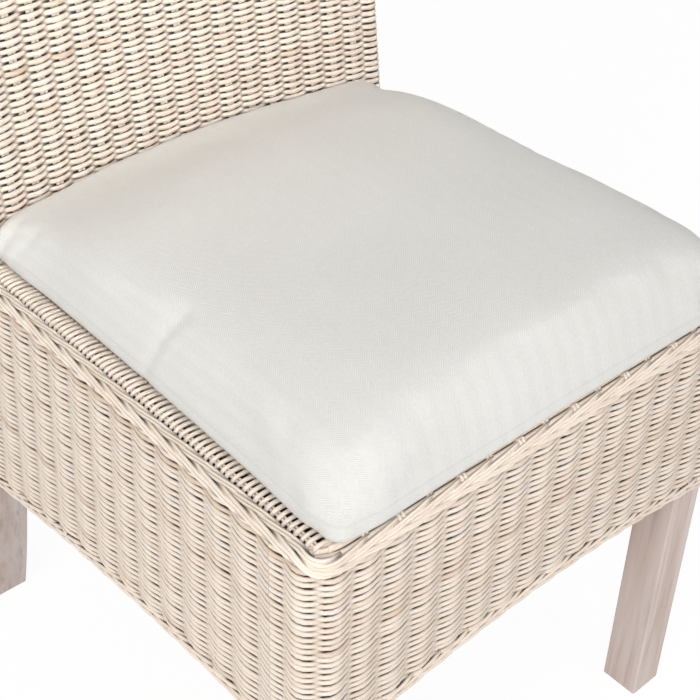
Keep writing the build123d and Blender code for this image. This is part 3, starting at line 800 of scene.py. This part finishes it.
for x, y, thin, reach in (
    (-1, rear_edge, 0.12, 0.13),
    (-1, front_edge, 0.1, 0.1),
    (1, front_edge, 0.06, 0.1),
    (1, rear_edge, 0.04, 0.1),
):
    off = np.hypot(start[:, 0] - x * wide_half, start[:, 1] - y)
    start[:, 2] = foot + (start[:, 2] - foot) * (1 - thin * np.exp(-((off / reach) ** 2)))
ear_x, ear_y, ear_size, ear_reach = -0.203, 0.152, 0.035, 0.007
ear = ear_reach * np.exp(-((np.hypot(start[:, 0] - ear_x, start[:, 1] - ear_y) / ear_size) ** 2))
ear *= np.clip((start[:, 2] - 0.461) / 0.01, 0, 1)
start[:, 0] -= ear
start[:, 1] += ear
cushion.data.vertices.foreach_set("co", start.ravel())
cushion.data.update()
sideways = np.array([vertex.normal[:2] for vertex in cushion.data.vertices])
spread_top, foot_spread = 0.484, 0.0055
low = np.clip((spread_top - start[:, 2]) / (spread_top - foot), 0, 1)
start[:, :2] += sideways * (foot_spread * low * low * (3 - 2 * low))[:, None]
cushion.data.vertices.foreach_set("co", start.ravel())
cushion.data.update()

# The swelling is kept small, the cover lies a little askew, and it stays in front of the back,
# where its rear edge rolls down.
most_swell, askew, rear_roll = 0.0035, 0.019, 0.005
held = cushion.vertex_groups.new(name="foot")
held.add(np.flatnonzero(start[:, 2] < foot + 0.0015).tolist(), 1.0, "REPLACE")
cloth = cushion.modifiers.new("cloth", "CLOTH").settings
cloth.quality = 5
cloth.mass = 0.3
cloth.tension_stiffness = cloth.compression_stiffness = 12
cloth.shear_stiffness = 5
cloth.bending_stiffness = 3
cloth.vertex_group_mass = "foot"
cloth.shrink_min = -0.02
cloth.use_pressure = True
cloth.uniform_pressure_force = 4
cloth.effector_weights.gravity = 0
for step in range(1, 21):
    scene.frame_set(step)
out_way = np.array([vertex.normal[:] for vertex in cushion.data.vertices])
move = settle() - start
scene.frame_set(1)
swell = np.clip(np.sum(move * out_way, axis=1), 0, most_swell)[:, None]
swollen = start + out_way * swell
swollen[:, 0] += askew * (swollen[:, 1] + 0.25)
swollen[:, 2] = np.maximum(swollen[:, 2], foot)
behind = back_face - 0.6 + arch(hollow, 1000 * swollen[:, 0]) + lean * (1000 * swollen[:, 2] - deck_z)
swollen[:, 1] = np.minimum(swollen[:, 1], 0.001 * behind)
rolled = np.exp(-(((0.001 * behind - swollen[:, 1]) / 0.006) ** 2))
swollen[:, 2] -= rear_roll * rolled * np.clip((swollen[:, 2] - foot) / 0.03, 0, 1)
cushion.data.vertices.foreach_set("co", swollen.ravel())
ease = cushion.modifiers.new("ease", "SMOOTH")
ease.factor = 0.5
ease.iterations = 8
ease.vertex_group = "upper"

smooth = cushion.modifiers.new("smooth", "SUBSURF")
smooth.levels = smooth.render_levels = 1
points = settle()

# Soft folds, each with its two ends, its depth and its breadth: one up the right flank, two at the
# rear right corner and one round the front right corner.
outward = np.array([vertex.normal[:] for vertex in cushion.data.vertices])
for head, tail, depth, breadth in (
    ((-0.220, -0.046), (-0.174, -0.073), 0.0018, 0.006),
    ((-0.222, 0.151), (-0.178, 0.146), 0.0022, 0.006),
    ((-0.218, 0.136), (-0.180, 0.116), 0.0012, 0.006),
    ((-0.226, -0.240), (-0.180, -0.284), 0.0022, 0.010),
):
    way = np.subtract(tail, head)
    from_head = points[:, :2] - head
    along = from_head @ way / (way @ way)
    beside = (from_head[:, 0] * way[1] - from_head[:, 1] * way[0]) / np.hypot(*way)
    dip = depth * np.exp(-((beside / breadth) ** 2)) * np.clip(4 * along * (1 - along), 0, 1)
    points -= outward * (dip * np.clip((points[:, 2] - foot) / 0.008, 0, 1))[:, None]
cushion.data.vertices.foreach_set("co", points.ravel())
cushion.data.update()

# The cloth's own map: flat on top, and laid out straight down each side from the shoulder.
shoulder_z = 0.516
normals = np.array([vertex.normal[:2] for vertex in cushion.data.vertices])
drop = np.maximum(0, shoulder_z - points[:, 2])[:, None]
facing = np.abs(normals) ** 6
steepness = np.linalg.norm(normals, axis=1)[:, None]
facing *= np.sign(normals) * steepness / np.maximum(facing.sum(axis=1), 1e-9)[:, None]
spread_out = points[:, :2] + drop * facing
corners = np.empty(len(cushion.data.loops), int)
cushion.data.loops.foreach_get("vertex_index", corners)
cushion.data.uv_layers.new(name="cloth").data.foreach_set("uv", spread_out[corners].ravel())
cushion.data.materials.clear()
cushion.data.materials.append(cotton)
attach(cushion, "cushion")
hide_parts("seat_cushion")

size = {"cad": [list(point) for point in cad_box], "visual": [list(point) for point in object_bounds()]}
